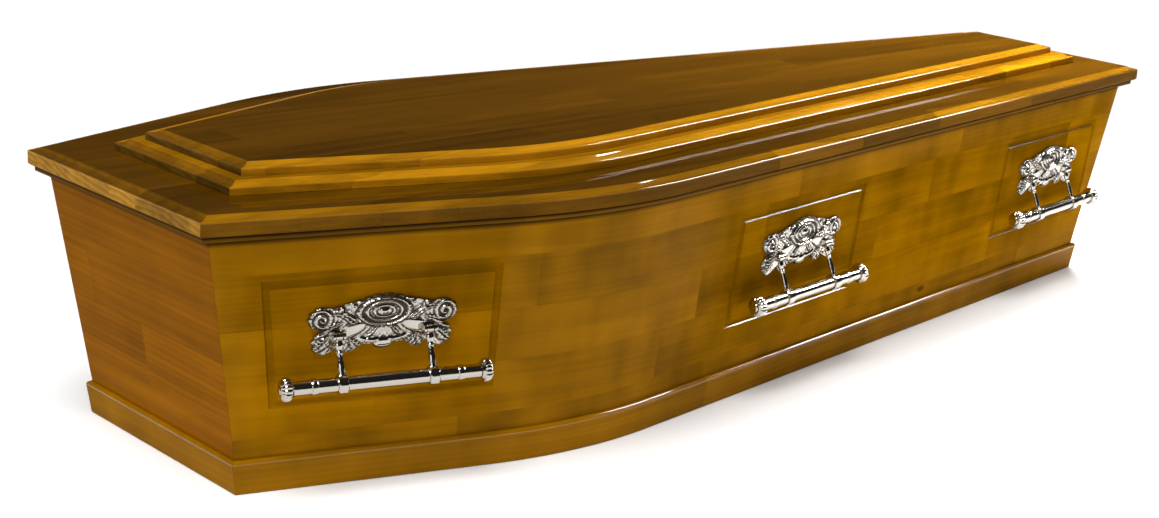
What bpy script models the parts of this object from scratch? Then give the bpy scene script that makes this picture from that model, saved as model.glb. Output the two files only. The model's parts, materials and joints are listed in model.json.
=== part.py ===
"""Wooden coffin with bent shoulders, a raised lid and six drop-bar handles.

Units are metres. +Z is up, the head end is at -X, the foot end at +X, and the
origin is on the floor below the middle. The near side is at -Y.
"""
import math

import bmesh
import bpy
from mathutils import Matrix, Vector

# Fits between pieces
GAP = 0.0003            # between pieces that touch
MITRE_BACK = 0.0002     # how far each mitred end stops short of its corner
RUNNING = 0.0004        # clearance round a hinge pin

# Plan of the lid board, which is the widest outline
LID_LENGTH = 2.000
HEAD_WIDTH = 0.4225
FOOT_WIDTH = 0.402
SHOULDER_WIDTH = 0.7566     # where the straight sides would meet
SHOULDER_FROM_HEAD = 0.5304
SHOULDER_RADIUS = 0.700
SHOULDER_STEPS = 8

# Case of five boards, whose walls lean outwards as they rise
CASE_HEIGHT = 0.3557
WALL = 0.020
BASE_BOARD = 0.018
WALL_INSET = {"side": 0.0227, "head": 0.0206, "foot": 0.0194}
WALL_LEAN = {"side": math.radians(5.8), "head": math.radians(9.4), "foot": math.radians(10.6)}

# Plinth moulding round the foot of the walls
PLINTH_HEIGHT = 0.0455
PLINTH_THICKNESS = 0.0072
PLINTH_ROUND = 0.0050

# Rim moulding round the top of the walls, just below the lid
RIM_HEIGHT = 0.0083
RIM_INSET = 0.0072
RIM_ROUND = 0.0016

# Lid board, with a moulded edge all round
LID_BOARD = 0.0242
LID_CHAMFER = 0.0022
LID_EDGE = 0.0199           # height of the upright edge
LID_COVE = 0.0152           # width of the moulded top edge

# Two raised boards stacked on the lid board, with moulded edges like its own
RAISED_INSET = {"side": 0.096, "head": 0.088, "foot": 0.080}
EDGE_ROUND = 0.0022
LOWER_EDGE = 0.0106
LOWER_COVE = 0.0150
LOWER_RISE = 0.0048
LEDGE = 0.0175
UPPER_EDGE = 0.0100
UPPER_COVE = 0.0168
UPPER_RISE = 0.0040
COVE_STEPS = 2

# Frame-shaped groove routed round each handle
GROOVE_WIDTH = 0.0100
GROOVE_DEPTH = 0.0030
GROOVE_LENGTH = 0.322
GROOVE_TALL = 0.174
GROOVE_DROP = 0.0100        # centre of the frame, below the pivots
GROOVE_SLANT = 0.0170       # how far the run beside the head corner slopes in

# Handles
PIVOT_HEIGHT = 0.2095
HEAD_HANDLE = 0.2450        # from the head corner, along the side
MIDDLE_HANDLE = 0.4765      # from where the straight sides would meet
FOOT_HANDLE = 0.2420        # from the foot corner, along the side
BAR_LENGTH = 0.252
BAR_RADIUS = 0.0092
BAR_SIDES = 10
BAND_PLACE = 0.098
BAND_WIDTH = 0.008
BAND_PROUD = 0.0011
CAP_LENGTH = 0.018
CAP_RADIUS = 0.0155
ARM_SPACING = 0.122
ARM_DROP = 0.0555
ARM_REACH = 0.0225
ARM_WIDTH = 0.0096
ARM_THICKNESS = 0.0070
ARM_STEPS = 4
EYE_WIDTH = 0.0100
EYE_WALL = 0.0027
PIN_RADIUS = 0.0020
PIN_SIDES = 6
COLLAR_WIDTH = 0.013
COLLAR_WALL = 0.0031
LUG_WIDTH = 0.0032

# Cast handle plate: a body, a crown, ears, lower leaves and a drop
PLATE_CENTRE = 0.014        # above the pivots
PLATE_RIM = 0.0028
PLATE_DOME = 0.0030
PLATE_HALF_LENGTH = 0.102
PLATE_HALF_HEIGHT = 0.042
PLATE_ANGLES = 40
PLATE_RINGS = (1.0, 0.86, 0.62, 0.34)
PLATE_LOBES = (
    # centre along the wall, centre up, half length, half height
    (0.000, 0.014, 0.086, 0.033),
    (0.000, 0.030, 0.040, 0.021),
    (0.079, 0.022, 0.022, 0.016),
    (0.080, -0.012, 0.015, 0.016),
    (0.046, -0.012, 0.014, 0.015),
    (0.000, -0.014, 0.014, 0.012),
)
MEDALLION = (0.028, 0.033, 0.018)   # centre up, half length, half height
MEDALLION_PROUD = 0.0036
SWAG_LOW = -0.015
SWAG_HIGH = 0.006
SWAG_PROUD = 0.0028
SWAG_WIDTH = 0.0065

LID_BOTTOM = CASE_HEIGHT + GAP
LID_TOP = LID_BOTTOM + LID_BOARD


def clear_scene():
    for item in list(bpy.data.objects):
        bpy.data.objects.remove(item, do_unlink=True)


def material(name, colour, roughness, metallic):
    finish = bpy.data.materials.new(name)
    finish.use_nodes = True
    shader = finish.node_tree.nodes["Principled BSDF"]
    shader.inputs["Base Color"].default_value = (*colour, 1.0)
    shader.inputs["Roughness"].default_value = roughness
    shader.inputs["Metallic"].default_value = metallic
    finish.diffuse_color = (*colour, 1.0)
    return finish


def add_object(name, mesh, finish, parent=None):
    item = bpy.data.objects.new(name, mesh)
    if not mesh.materials:
        mesh.materials.append(finish)
    bpy.context.scene.collection.objects.link(item)
    item.parent = parent
    return item


def mesh_from(name, work):
    bmesh.ops.recalc_face_normals(work, faces=work.faces)
    mesh = bpy.data.meshes.new(name)
    work.to_mesh(mesh)
    work.free()
    return mesh


def bridge(work, first, second):
    """Join two closed rings of vertices, point to point."""
    for index in range(len(first)):
        after = (index + 1) % len(first)
        work.faces.new((first[index], first[after], second[after], second[index]))


def loft(name, rings, ends="caps"):
    """Skin a list of rings of points: capped at its ends, or joined round."""
    work = bmesh.new()
    loops = [[work.verts.new(point) for point in ring] for ring in rings]
    for first, second in zip(loops, loops[1:]):
        bridge(work, first, second)
    if ends == "caps":
        work.faces.new(loops[0])
        work.faces.new(reversed(loops[-1]))
    else:
        bridge(work, loops[-1], loops[0])
    return mesh_from(name, work)


# Plan


HEAD_CORNER = Vector((-LID_LENGTH / 2, HEAD_WIDTH / 2))
SHOULDER = Vector((-LID_LENGTH / 2 + SHOULDER_FROM_HEAD, SHOULDER_WIDTH / 2))
FOOT_CORNER = Vector((LID_LENGTH / 2, FOOT_WIDTH / 2))
HEAD_RUN = (SHOULDER - HEAD_CORNER).normalized()
FOOT_RUN = (FOOT_CORNER - SHOULDER).normalized()


def inward(run):
    return Vector((run.y, -run.x))


def meet(run, corner, inset, x):
    """Point at a given x on a side line that is set in from the lid's edge."""
    start = corner + inward(run) * inset
    return start + run * ((x - start.x) / run.x)


def bend_centre():
    """Point that lies one shoulder radius in from both straight stretches."""
    half = (inward(HEAD_RUN) + inward(FOOT_RUN)).normalized()
    return SHOULDER + half * (SHOULDER_RADIUS / half.dot(inward(HEAD_RUN)))


def side_path(side, head, foot, back=0.0):
    """Half outline from the head corner to the foot corner, set in on each side."""
    first = meet(HEAD_RUN, HEAD_CORNER, side, -LID_LENGTH / 2 + head) + HEAD_RUN * back
    last = meet(FOOT_RUN, FOOT_CORNER, side, LID_LENGTH / 2 - foot) - FOOT_RUN * back
    outward = [-inward(HEAD_RUN), -inward(FOOT_RUN)]
    start, end = (math.atan2(way.y, way.x) for way in outward)
    centre = bend_centre()
    points = [first]
    for step in range(SHOULDER_STEPS + 1):
        angle = start + (end - start) * step / SHOULDER_STEPS
        reach = SHOULDER_RADIUS - side
        points.append(centre + Vector((math.cos(angle), math.sin(angle))) * reach)
    points.append(last)
    return points


def outline(side, head, foot, z):
    """Whole closed outline at one height."""
    half = side_path(side, head, foot)
    near = [(point.x, -point.y, z) for point in half]
    far = [(point.x, point.y, z) for point in reversed(half)]
    return near + far


def wall_face(part, z):
    """Inset of a wall's outer face from the lid's edge, at a height."""
    return WALL_INSET[part] + math.tan(WALL_LEAN[part]) * (CASE_HEIGHT - z)


def strips(names, section, finish):
    """Four mitred pieces round the coffin, from a section for side, head and foot."""
    side, head, foot = (section(part) for part in ("side", "head", "foot"))
    paths = [side_path(s[0], h[0], f[0], MITRE_BACK) for s, h, f in zip(side, head, foot)]
    corners = [side_path(s[0], h[0], f[0]) for s, h, f in zip(side, head, foot)]
    heights = [point[1] for point in side]
    made = {}
    for name, sign in ((names[0], -1), (names[1], 1)):
        rings = []
        for station in range(len(paths[0])):
            rings.append([(path[station].x, sign * path[station].y, z)
                          for path, z in zip(paths, heights)])
        made[name] = add_object(name, loft(name, rings), finish)
    for name, station in ((names[2], 0), (names[3], -1)):
        rings = []
        for sign in (-1, 1):
            rings.append([(path[station].x, sign * (path[station].y - MITRE_BACK), z)
                          for path, z in zip(corners, heights)])
        made[name] = add_object(name, loft(name, rings), finish)
    return made


def edge_profile(height, cove, rise):
    """Upright edge, small round and shallow cove, as inset and height from its foot."""
    points = [(0.0, 0.0), (0.0, height - EDGE_ROUND)]
    points.append((0.3 * EDGE_ROUND, height - 0.3 * EDGE_ROUND))
    points.append((EDGE_ROUND, height))
    for step in range(1, COVE_STEPS + 1):
        share = step / COVE_STEPS
        points.append((EDGE_ROUND + (cove - EDGE_ROUND) * share, height + rise * share ** 2))
    return points


# Case


def wall_section(part):
    low, high = BASE_BOARD + GAP, CASE_HEIGHT
    return [(wall_face(part, low), low), (wall_face(part, high), high),
            (wall_face(part, high) + WALL, high), (wall_face(part, low) + WALL, low)]


def plinth_section(part):
    proud = GAP + PLINTH_THICKNESS
    shoulder = PLINTH_HEIGHT - PLINTH_ROUND
    points = [(wall_face(part, 0.0) - proud, 0.0), (wall_face(part, shoulder) - proud, shoulder)]
    for angle in (math.radians(45), math.radians(90)):
        z = shoulder + PLINTH_ROUND * math.sin(angle)
        points.append((wall_face(part, z) - proud + PLINTH_ROUND * (1 - math.cos(angle)), z))
    points.append((wall_face(part, PLINTH_HEIGHT) - GAP, PLINTH_HEIGHT))
    points.append((wall_face(part, 0.0) - GAP, 0.0))
    return points


def rim_section(part):
    """Square-backed strip, whose rounding keeps one mitre plane at each corner."""
    top, bottom = CASE_HEIGHT, CASE_HEIGHT - RIM_HEIGHT
    back = wall_face(part, top) - GAP
    share = RIM_ROUND / (wall_face("side", top) - GAP - RIM_INSET)
    front = RIM_INSET + share * (back - RIM_INSET)
    return [(front, bottom), (RIM_INSET, bottom + RIM_ROUND), (RIM_INSET, top - RIM_ROUND),
            (front, top), (back, top), (back, bottom)]


def base_board(finish):
    rings = []
    for z in (0.0, BASE_BOARD):
        rings.append(outline(*(wall_face(part, z) for part in ("side", "head", "foot")), z))
    return add_object("base_board", loft("base_board", rings), finish)


def groove_cutter(name, place, head_way, slant):
    """Triangular ring that cuts the frame-shaped groove into a side board.

    The head way is the sign of the end towards the head, whose lower corner moves in.
    """
    middle = -GROOVE_DROP
    rings = []
    for way_x, way_z in ((-1, -1), (1, -1), (1, 1), (-1, 1)):
        ring = []
        shift = -head_way * slant if (way_x, way_z) == (head_way, -1) else 0.0
        for back, out in ((0.0, 1.0), (0.5, -1.0), (1.0, 1.0)):
            x = way_x * (GROOVE_LENGTH / 2 - GROOVE_WIDTH * back + GROOVE_WIDTH * slack(back))
            z = way_z * (GROOVE_TALL / 2 - GROOVE_WIDTH * back + GROOVE_WIDTH * slack(back))
            ring.append((x + shift, -out * GROOVE_DEPTH, middle + z))
        rings.append(ring)
    cutter = bpy.data.objects.new(name, loft(name, rings, ends="round"))
    bpy.context.scene.collection.objects.link(cutter)
    cutter.matrix_world = place
    cutter.hide_render = True
    cutter.display_type = "WIRE"
    cutter.hide_set(True)
    return cutter


def slack(back):
    """Widening of the cutter above the board, so that its flanks keep their slope."""
    return 0.5 - back


def cut(board, cutter):
    step = board.modifiers.new(cutter.name, "BOOLEAN")
    step.operation = "DIFFERENCE"
    step.solver = "EXACT"
    step.object = cutter


# Lid


def board(name, insets, foot, section, finish):
    """Solid board with a moulded edge all round, from its underside up."""
    rings = [outline(*(inset + x for inset in insets), foot + z) for x, z in section]
    return add_object(name, loft(name, rings), finish)


def lid(finish):
    """Lid board and the two raised boards that are stacked on it."""
    edge = edge_profile(LID_EDGE, LID_COVE, LID_BOARD - LID_EDGE)
    edge[:1] = [(LID_CHAMFER, 0.0), (0.0, LID_CHAMFER)]
    board("lid_board", (0.0, 0.0, 0.0), LID_BOTTOM, edge, finish)
    foot = LID_TOP + GAP
    insets = [RAISED_INSET[part] for part in ("side", "head", "foot")]
    board("raised_board_lower", insets, foot, edge_profile(LOWER_EDGE, LOWER_COVE, LOWER_RISE), finish)
    foot += LOWER_EDGE + LOWER_RISE + GAP
    insets = [inset + LOWER_COVE + LEDGE for inset in insets]
    board("raised_board_upper", insets, foot, edge_profile(UPPER_EDGE, UPPER_COVE, UPPER_RISE), finish)


# Handle plate


def lobe_exit(centre, half, start, way):
    """How far a ray from a point runs before it leaves an ellipse, or nothing."""
    px, pz = (start[0] - centre[0]) / half[0], (start[1] - centre[1]) / half[1]
    dx, dz = way[0] / half[0], way[1] / half[1]
    a, b, c = dx * dx + dz * dz, px * dx + pz * dz, px * px + pz * pz - 1.0
    inside = b * b - a * c
    return (-b + math.sqrt(inside)) / a if inside > 0.0 else 0.0


def plate_reach(way):
    """Distance from the plate's centre to its outline along a direction."""
    reaches = []
    for x, z, half_x, half_z in PLATE_LOBES:
        for sign in (-1, 1):
            reaches.append(lobe_exit((sign * x, z), (half_x, half_z), (0.0, PLATE_CENTRE), way))
    return max(reaches)


def bump(distance, width):
    return math.exp(-(distance / width) ** 2)


def plate_height(x, z):
    """Relief of the cast plate: dome, oval medallion and the swag below it."""
    across = (x / PLATE_HALF_LENGTH) ** 2 + ((z - PLATE_CENTRE) / PLATE_HALF_HEIGHT) ** 2
    height = PLATE_RIM + PLATE_DOME * max(0.0, 1.0 - across)
    up, half_x, half_z = MEDALLION
    ring = math.hypot(x / half_x, (z - up) / half_z)
    relief = MEDALLION_PROUD * bump(ring - 1.0, 0.28) + 0.6 * MEDALLION_PROUD * bump(ring, 0.6)
    swag = SWAG_LOW + (SWAG_HIGH - SWAG_LOW) * (x / PLATE_LOBES[0][2]) ** 2
    relief += SWAG_PROUD * bump(z - swag, SWAG_WIDTH)
    clear_of_pivot = 1.0 - bump(math.hypot(abs(x) - ARM_SPACING / 2, z), 1.6 * EYE_WIDTH)
    return height + relief * clear_of_pivot ** 2


def eye_radius():
    return PIN_RADIUS + RUNNING + EYE_WALL


def pivot_proud():
    """Distance of the hinge axis from the wall, clear of the plate behind the eye."""
    return plate_height(ARM_SPACING / 2, 0.0) + 2 * RUNNING + eye_radius()


def plate_body():
    rings = []
    for share in PLATE_RINGS:
        ring = []
        for index in range(PLATE_ANGLES):
            angle = 2 * math.pi * index / PLATE_ANGLES
            way = Vector((PLATE_HALF_LENGTH * math.cos(angle), PLATE_HALF_HEIGHT * math.sin(angle)))
            way.normalize()
            reach = plate_reach(way) * share
            x, z = way.x * reach, PLATE_CENTRE + way.y * reach
            height = PLATE_RIM if share == 1.0 else plate_height(x, z)
            ring.append((x, -height, z))
        rings.append(ring)
    back = [(x, 0.0, z) for x, _, z in rings[0]]
    work = bmesh.new()
    loops = [[work.verts.new(point) for point in ring] for ring in [back] + rings]
    work.faces.new(loops[0])
    for first, second in zip(loops, loops[1:]):
        bridge(work, first, second)
    top = work.verts.new((0.0, -plate_height(0.0, PLATE_CENTRE), PLATE_CENTRE))
    for index, vertex in enumerate(loops[-1]):
        work.faces.new((vertex, loops[-1][(index + 1) % PLATE_ANGLES], top))
    return mesh_from("plate", work)


def hinge_lugs(side):
    """Two lugs with the pin between them, as one body that runs into the plate."""
    out = pivot_proud()
    rise = eye_radius() - 0.0002
    root = 0.6 * PLATE_RIM
    lug = ((out + rise, 0.0), (out + 0.5 * rise, rise), (root, 1.1 * rise),
           (root, 0.0), (root, -1.1 * rise), (out + 0.5 * rise, -rise))
    pin = []
    for index in range(PIN_SIDES):
        angle = 2 * math.pi * index / PIN_SIDES
        pin.append((out + PIN_RADIUS * math.cos(angle), PIN_RADIUS * math.sin(angle)))
    inner = EYE_WIDTH / 2 + RUNNING
    rings = []
    for x, shape in ((-inner - LUG_WIDTH, lug), (-inner, lug), (-inner, pin),
                     (inner, pin), (inner, lug), (inner + LUG_WIDTH, lug)):
        rings.append([(side * ARM_SPACING / 2 + x, -w, z) for w, z in shape])
    return loft("lugs", rings)


def united(name, meshes):
    """One closed mesh from overlapping ones."""
    pieces = []
    for mesh in meshes:
        piece = bpy.data.objects.new(name, mesh)
        bpy.context.scene.collection.objects.link(piece)
        pieces.append(piece)
    for piece in pieces[1:]:
        step = pieces[0].modifiers.new(piece.name, "BOOLEAN")
        step.operation = "UNION"
        step.solver = "EXACT"
        step.object = piece
    graph = bpy.context.evaluated_depsgraph_get()
    mesh = bpy.data.meshes.new_from_object(pieces[0].evaluated_get(graph))
    mesh.name = name
    for piece in pieces:
        bpy.data.objects.remove(piece, do_unlink=True)
    return mesh


# Swinging part of a handle, with its origin on the pivot axis


def tube(name, sides, outer, inner, width, centre, turn):
    """Short ring round an axis along X."""
    rings = []
    half = width / 2
    for x, radius in ((-half, outer), (half, outer), (half, inner), (-half, inner)):
        ring = []
        for index in range(sides):
            angle = turn + 2 * math.pi * index / sides
            ring.append((x, centre[0] + radius * math.cos(angle), centre[1] + radius * math.sin(angle)))
        rings.append(ring)
    return loft(name, rings, ends="round")


def arm_line(share):
    """Centre line of an arm: down from the pivot and out to the bar."""
    ease = 3 * share ** 2 - 2 * share ** 3
    return Vector((-ARM_REACH * ease, -ARM_DROP * share))


def arm_stem():
    eye_hole = (PIN_RADIUS + RUNNING) / math.cos(math.pi / PIN_SIDES)
    start = (eye_hole + 0.3 * EYE_WALL) / ARM_DROP
    end = 1.0 - (BAR_RADIUS + GAP + COLLAR_WALL / 2) / ARM_DROP
    rings = []
    for index in range(ARM_STEPS + 1):
        share = start + (end - start) * index / ARM_STEPS
        along = (arm_line(share + 0.01) - arm_line(share - 0.01)).normalized()
        across = Vector((-along.y, along.x)) * ARM_THICKNESS / 2
        centre = arm_line(share)
        ring = []
        for x, way in ((-1, -1), (1, -1), (1, 1), (-1, 1)):
            point = centre + across * way
            ring.append((x * ARM_WIDTH / 2, point.x, point.y))
        rings.append(ring)
    return loft("stem", rings)


def arm_mesh():
    eye_hole = (PIN_RADIUS + RUNNING) / math.cos(math.pi / PIN_SIDES)
    eye = tube("eye", PIN_SIDES, eye_radius() + 0.0003, eye_hole, EYE_WIDTH, (0.0, 0.0), 0.0)
    bar_place = (-ARM_REACH, -ARM_DROP)
    hole = BAR_RADIUS + GAP / math.cos(math.pi / BAR_SIDES)
    collar = tube("collar", BAR_SIDES, hole + COLLAR_WALL, hole, COLLAR_WIDTH, bar_place,
                  math.pi / BAR_SIDES)
    return united("arm", [arm_stem(), eye, collar])


def turned(name, profile, sides):
    """Round body along X from pairs of place and radius."""
    rings = []
    for x, radius in profile:
        ring = []
        for index in range(sides):
            angle = math.pi / sides + 2 * math.pi * index / sides
            ring.append((x, radius * math.cos(angle), radius * math.sin(angle)))
        rings.append(ring)
    mesh = loft(name, rings)
    mesh.shade_smooth()
    mesh.set_sharp_from_angle(angle=math.radians(40))
    return mesh


def bar_mesh():
    half = [(BAR_LENGTH / 2, BAR_RADIUS)]
    for x, proud in ((0.5, 0.0), (0.38, BAND_PROUD), (-0.38, BAND_PROUD), (-0.5, 0.0)):
        half.append((BAND_PLACE + x * BAND_WIDTH, BAR_RADIUS + proud))
    return turned("bar", [(-x, r) for x, r in half] + half[::-1], BAR_SIDES)


def cap_mesh():
    """Knob at a bar's end, from its inner face outwards."""
    shape = ((0.0, 0.72), (0.12, 1.0), (0.72, 1.0), (1.0, 0.60))
    return turned("cap", [(CAP_LENGTH * x, CAP_RADIUS * r) for x, r in shape], BAR_SIDES)


def handle_places():
    """Points on the plan's edge line where the handles are centred, with their runs."""
    return (("head", HEAD_CORNER + HEAD_RUN * HEAD_HANDLE, HEAD_RUN),
            ("middle", SHOULDER + FOOT_RUN * MIDDLE_HANDLE, FOOT_RUN),
            ("foot", FOOT_CORNER - FOOT_RUN * FOOT_HANDLE, FOOT_RUN))


def wall_matrix(point, run, side):
    """Frame on a side wall at pivot height: X along it, -Y out of it, Z up it."""
    spot = point + inward(run) * wall_face("side", PIVOT_HEIGHT)
    out = Vector((-inward(run).x, -side * inward(run).y, 0.0))
    lean = WALL_LEAN["side"]
    up = out * math.sin(lean) + Vector((0, 0, 1)) * math.cos(lean)
    normal = out * math.cos(lean) - Vector((0, 0, 1)) * math.sin(lean)
    along = (-normal).cross(up)
    frame = Matrix((along, -normal, up)).transposed().to_4x4()
    frame.translation = (spot.x, side * spot.y, PIVOT_HEIGHT)
    return frame


def empty(name, place):
    item = bpy.data.objects.new(name, None)
    bpy.context.scene.collection.objects.link(item)
    item.matrix_world = place
    return item


def handle(label, place, meshes, chrome):
    """Plate on the wall, and the bar with its arms and caps on the pivot."""
    plate = add_object("handle_plate_" + label, meshes["plate"], chrome)
    plate.matrix_world = place @ Matrix.Translation((0.0, -GAP, 0.0))
    pivot = empty("pivot_" + label, place @ Matrix.Translation((0.0, -GAP - pivot_proud(), 0.0)))
    for end, side in (("a", -1), ("b", 1)):
        arm = add_object("handle_arm_" + label + "_" + end, meshes["arm"], chrome, pivot)
        arm.location.x = side * ARM_SPACING / 2
        cap = add_object("handle_cap_" + label + "_" + end, meshes["cap"], chrome, pivot)
        cap.location = (side * (BAR_LENGTH / 2 + GAP), -ARM_REACH, -ARM_DROP)
        cap.rotation_euler.z = 0.0 if side > 0 else math.pi
    bar = add_object("handle_bar_" + label, meshes["bar"], chrome, pivot)
    bar.location = (0.0, -ARM_REACH, -ARM_DROP)


def main():
    clear_scene()
    pine = material("side pine", (0.45, 0.20, 0.045), 0.25, 0.0)
    end_pine = material("end pine", (0.55, 0.24, 0.05), 0.25, 0.0)
    lid_pine = material("lid pine", (0.30, 0.12, 0.03), 0.22, 0.0)
    moulded = material("moulding pine", (0.42, 0.18, 0.04), 0.22, 0.0)
    chrome = material("bright metal", (0.72, 0.71, 0.68), 0.12, 1.0)

    base_board(pine)
    walls = strips(("side_board_near", "side_board_far", "head_board", "foot_board"),
                   wall_section, pine)
    for name in ("head_board", "foot_board"):
        walls[name].data.materials[0] = end_pine
    strips(("plinth_near", "plinth_far", "plinth_head", "plinth_foot"), plinth_section, moulded)
    strips(("rim_near", "rim_far", "rim_head", "rim_foot"), rim_section, moulded)
    lid(lid_pine)

    lugs = [hinge_lugs(side) for side in (-1, 1)]
    meshes = {"plate": united("plate", [plate_body()] + lugs), "arm": arm_mesh(),
              "bar": bar_mesh(), "cap": cap_mesh()}
    for side_name, side in (("near", -1), ("far", 1)):
        for spot, point, run in handle_places():
            label = side_name + "_" + spot
            place = wall_matrix(point, run, side)
            slant = GROOVE_SLANT if spot == "head" else 0.0
            cutter = groove_cutter("groove_" + label, place, side, slant)
            cut(walls["side_board_" + side_name], cutter)
            handle(label, place, meshes, chrome)


main()
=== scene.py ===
"""Looks of a varnished pine coffin with cast metal handles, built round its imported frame.

Units are metres. +Z is up, the head end is at -X and the near side is at -Y.
"""
import json
import math

import bmesh
import bpy
from mathutils import Matrix, Vector, noise


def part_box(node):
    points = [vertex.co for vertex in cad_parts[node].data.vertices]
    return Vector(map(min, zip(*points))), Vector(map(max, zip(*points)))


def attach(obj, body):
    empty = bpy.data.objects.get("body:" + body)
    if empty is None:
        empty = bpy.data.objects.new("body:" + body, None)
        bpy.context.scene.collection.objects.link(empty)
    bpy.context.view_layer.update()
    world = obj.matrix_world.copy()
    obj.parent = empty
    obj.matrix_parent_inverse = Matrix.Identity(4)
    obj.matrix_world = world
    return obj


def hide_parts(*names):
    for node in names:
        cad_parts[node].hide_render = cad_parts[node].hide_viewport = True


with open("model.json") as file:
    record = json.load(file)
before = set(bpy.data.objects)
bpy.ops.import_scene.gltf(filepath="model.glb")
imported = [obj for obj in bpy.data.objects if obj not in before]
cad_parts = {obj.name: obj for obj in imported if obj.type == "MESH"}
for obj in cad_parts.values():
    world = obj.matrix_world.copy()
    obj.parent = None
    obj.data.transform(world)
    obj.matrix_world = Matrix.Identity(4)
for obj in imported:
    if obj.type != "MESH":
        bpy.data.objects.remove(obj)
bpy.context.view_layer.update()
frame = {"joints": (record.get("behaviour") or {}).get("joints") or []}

bl_info = {
    "name": "Varnished Coffin",
    "version": (1, 0, 0),
    "blender": (4, 5, 0),
    "location": "View3D > Sidebar > Coffin",
    "description": "Varnished boards, mouldings and cast handles round a packed coffin frame",
    "category": "Object",
}

# Camera and image of the photograph
IMAGE_WIDTH = 1159.0
SENSOR_WIDTH = 36.0
FOCAL_PIXELS = 2042.7
CAMERA_PLACE = (-2.2628, -2.2117, 1.0378)
CAMERA_YAW = math.radians(43.23)
CAMERA_PITCH = math.radians(16.32)
CAMERA_ROLL = math.radians(3.21)

# Plan of the lid board, as in the solids
HALF_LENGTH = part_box("lid_board")[1].x
HEAD_CORNER = Vector((-HALF_LENGTH, 0.21125))
SHOULDER = Vector((-HALF_LENGTH + 0.5304, 0.3783))
FOOT_CORNER = Vector((HALF_LENGTH, 0.2010))
SHOULDER_RADIUS = 0.700
BEND_STEPS = 40
BEND_MARGIN = 0.03


def heights(node):
    """Lowest and highest point of a solid."""
    return [corner.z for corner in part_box(node)]


# Heights, read from the frame
BASE_TOP = heights("base_board")[1]
CASE_LOW, CASE_TOP = heights("side_board_near")
PLINTH_TOP = heights("plinth_near")[1]
RIM_LOW = heights("rim_near")[0]

# Walls and their mouldings
GAP = 0.0003
MITRE_BACK = 0.0002
WALL = 0.020
WALL_INSET = {"side": 0.0227, "head": 0.0206, "foot": 0.0194}
WALL_LEAN = {"side": math.radians(5.8), "head": math.radians(9.4), "foot": math.radians(10.6)}
PLINTH_PROUD = 0.0075
RIM_INSET = 0.0072

# Moulded edges of the lid boards
LID_CHAMFER = 0.0022
LID_COVE, LID_RISE = 0.0152, 0.0043
RAISED_INSET = (0.096, 0.088, 0.080)
LOWER_COVE, LOWER_RISE = 0.0150, 0.0048
LEDGE = 0.0175
UPPER_COVE, UPPER_RISE = 0.0168, 0.0040
CREASE_STEPS = 4
EDGE_FADE = 0.0012             # width over which the flat top's tone sets in
FACE_FADE = 0.4 * EDGE_FADE    # the same on an upright face
FACE_POLISH = 0.10             # varnish on flat faces, against 1 on rounded edges
TOP_POLISH = 0.50
ROUND_STEPS = 5
COVE_STEPS = 10
COVE_POWER = 3                 # how late a cove turns up

# Pine, with the staves as width and length
SIDE_STAVE = (0.074, 0.46)
END_STAVE = (0.090, 0.70)
STRIP_STAVE = (0.20, 1.3)
LID_STAVE = (0.062, 1.1)
FIRST_ROW = 40.0
PITH_DEPTH = 0.012             # mean depth of a stave's heart below the surface
PITH_ACROSS = 2.4              # how far the heart may lie to one side, in staves
PITH_SPREAD = 0.05             # how far its depth varies
RING_WANDER = 0.030            # how far the rings stray from round
LATE_WOOD = (0.15, 0.92)       # shares of a ring where its dark part sets in and ends
SEAM_WIDTH = 0.0005
SEAM_SHADE = 0.12
KNOT_SHADE = 0.62
# Painted shadow below the rim and below the lid: how dark it makes the wood, then its depth on the walls and
# on the rim
LEDGE_SHADOW = 0.88
RIM_SHADOW_DEPTH = 0.014               # depth of the dark line below the rim
LID_SHADOW_DEPTH = 0.006
COAT_RISE = (0.45, 0.75)       # upward slope where a groove's varnish sets in
ROUND_BEND = (4.0, 40.0)       # degrees between the steps of a rounded top
ROUND_LIFT = 0.3               # its least height above the strip's foot, in plinth heights
SIDE_SHIFT = 3.0               # keeps the grain of the near and the far side apart
END_SHIFT = 7.0

# Angles in degrees above which an edge stays sharp
SHARP = 30.0
SHARP_BOARD = 24.0
SHARP_TURNED = 35.0
SHARP_CAP = 28.0
SHARP_LUG = 40.0
SHARP_CAST = 80.0

# Frame-shaped groove round each handle. Its flank runs from above the face to the floor, in
# shares of the groove's width and depth.
GROOVE_FLANK = ((0.90, -0.60), (0.50, 0.12), (0.47, 0.24), (0.44, 0.45), (0.39, 0.68), (0.31, 0.84),
                (0.22, 0.95))
GROOVE_SECTION = [(-x, deep) for x, deep in GROOVE_FLANK] + [(0.0, 1.0)] + list(GROOVE_FLANK[::-1])
GROOVE_LENGTH = 0.322
GROOVE_TALL = 0.174
GROOVE_DROP = 0.0100
GROOVE_SLANT = 0.0170          # the run beside the head corner slopes in

# Handles, as in the solids
PIVOT_OUT = 0.0106             # hinge axis to the face of the wall
BAR_LENGTH = 0.252
BAR_RADIUS = 0.0092
BAR_SOFT = 0.0006              # softened edge at a bar's end
BAND_PLACE = 0.098
BAND_WIDTH = 0.008
CAP_LENGTH = 0.018
CAP_RADIUS = 0.0155
ARM_SPACING = 0.122
ARM_DROP = 0.0555
ARM_REACH = 0.0225
EYE_WIDTH = 0.0100
EYE_RADIUS = 0.0052
EYE_HOLE = 0.0025
COLLAR_WIDTH = 0.013
COLLAR_WALL = 0.0031
PIN_RADIUS = 0.0020
LUG_SPACE = 0.0054             # middle of the eye to the inner face of a lug
LUG_WIDTH = 0.0032
TURNED_SIDES = 48
EYE_SIDES = 40
COLLAR_SIDES = 56
LUG_SIDES = 24
STEM_SIDES = 28
STEM_STEPS = 3                 # rings for each row of the arm's shape
CAP_SIDES = 112
CAP_RIBS = 7

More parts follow.
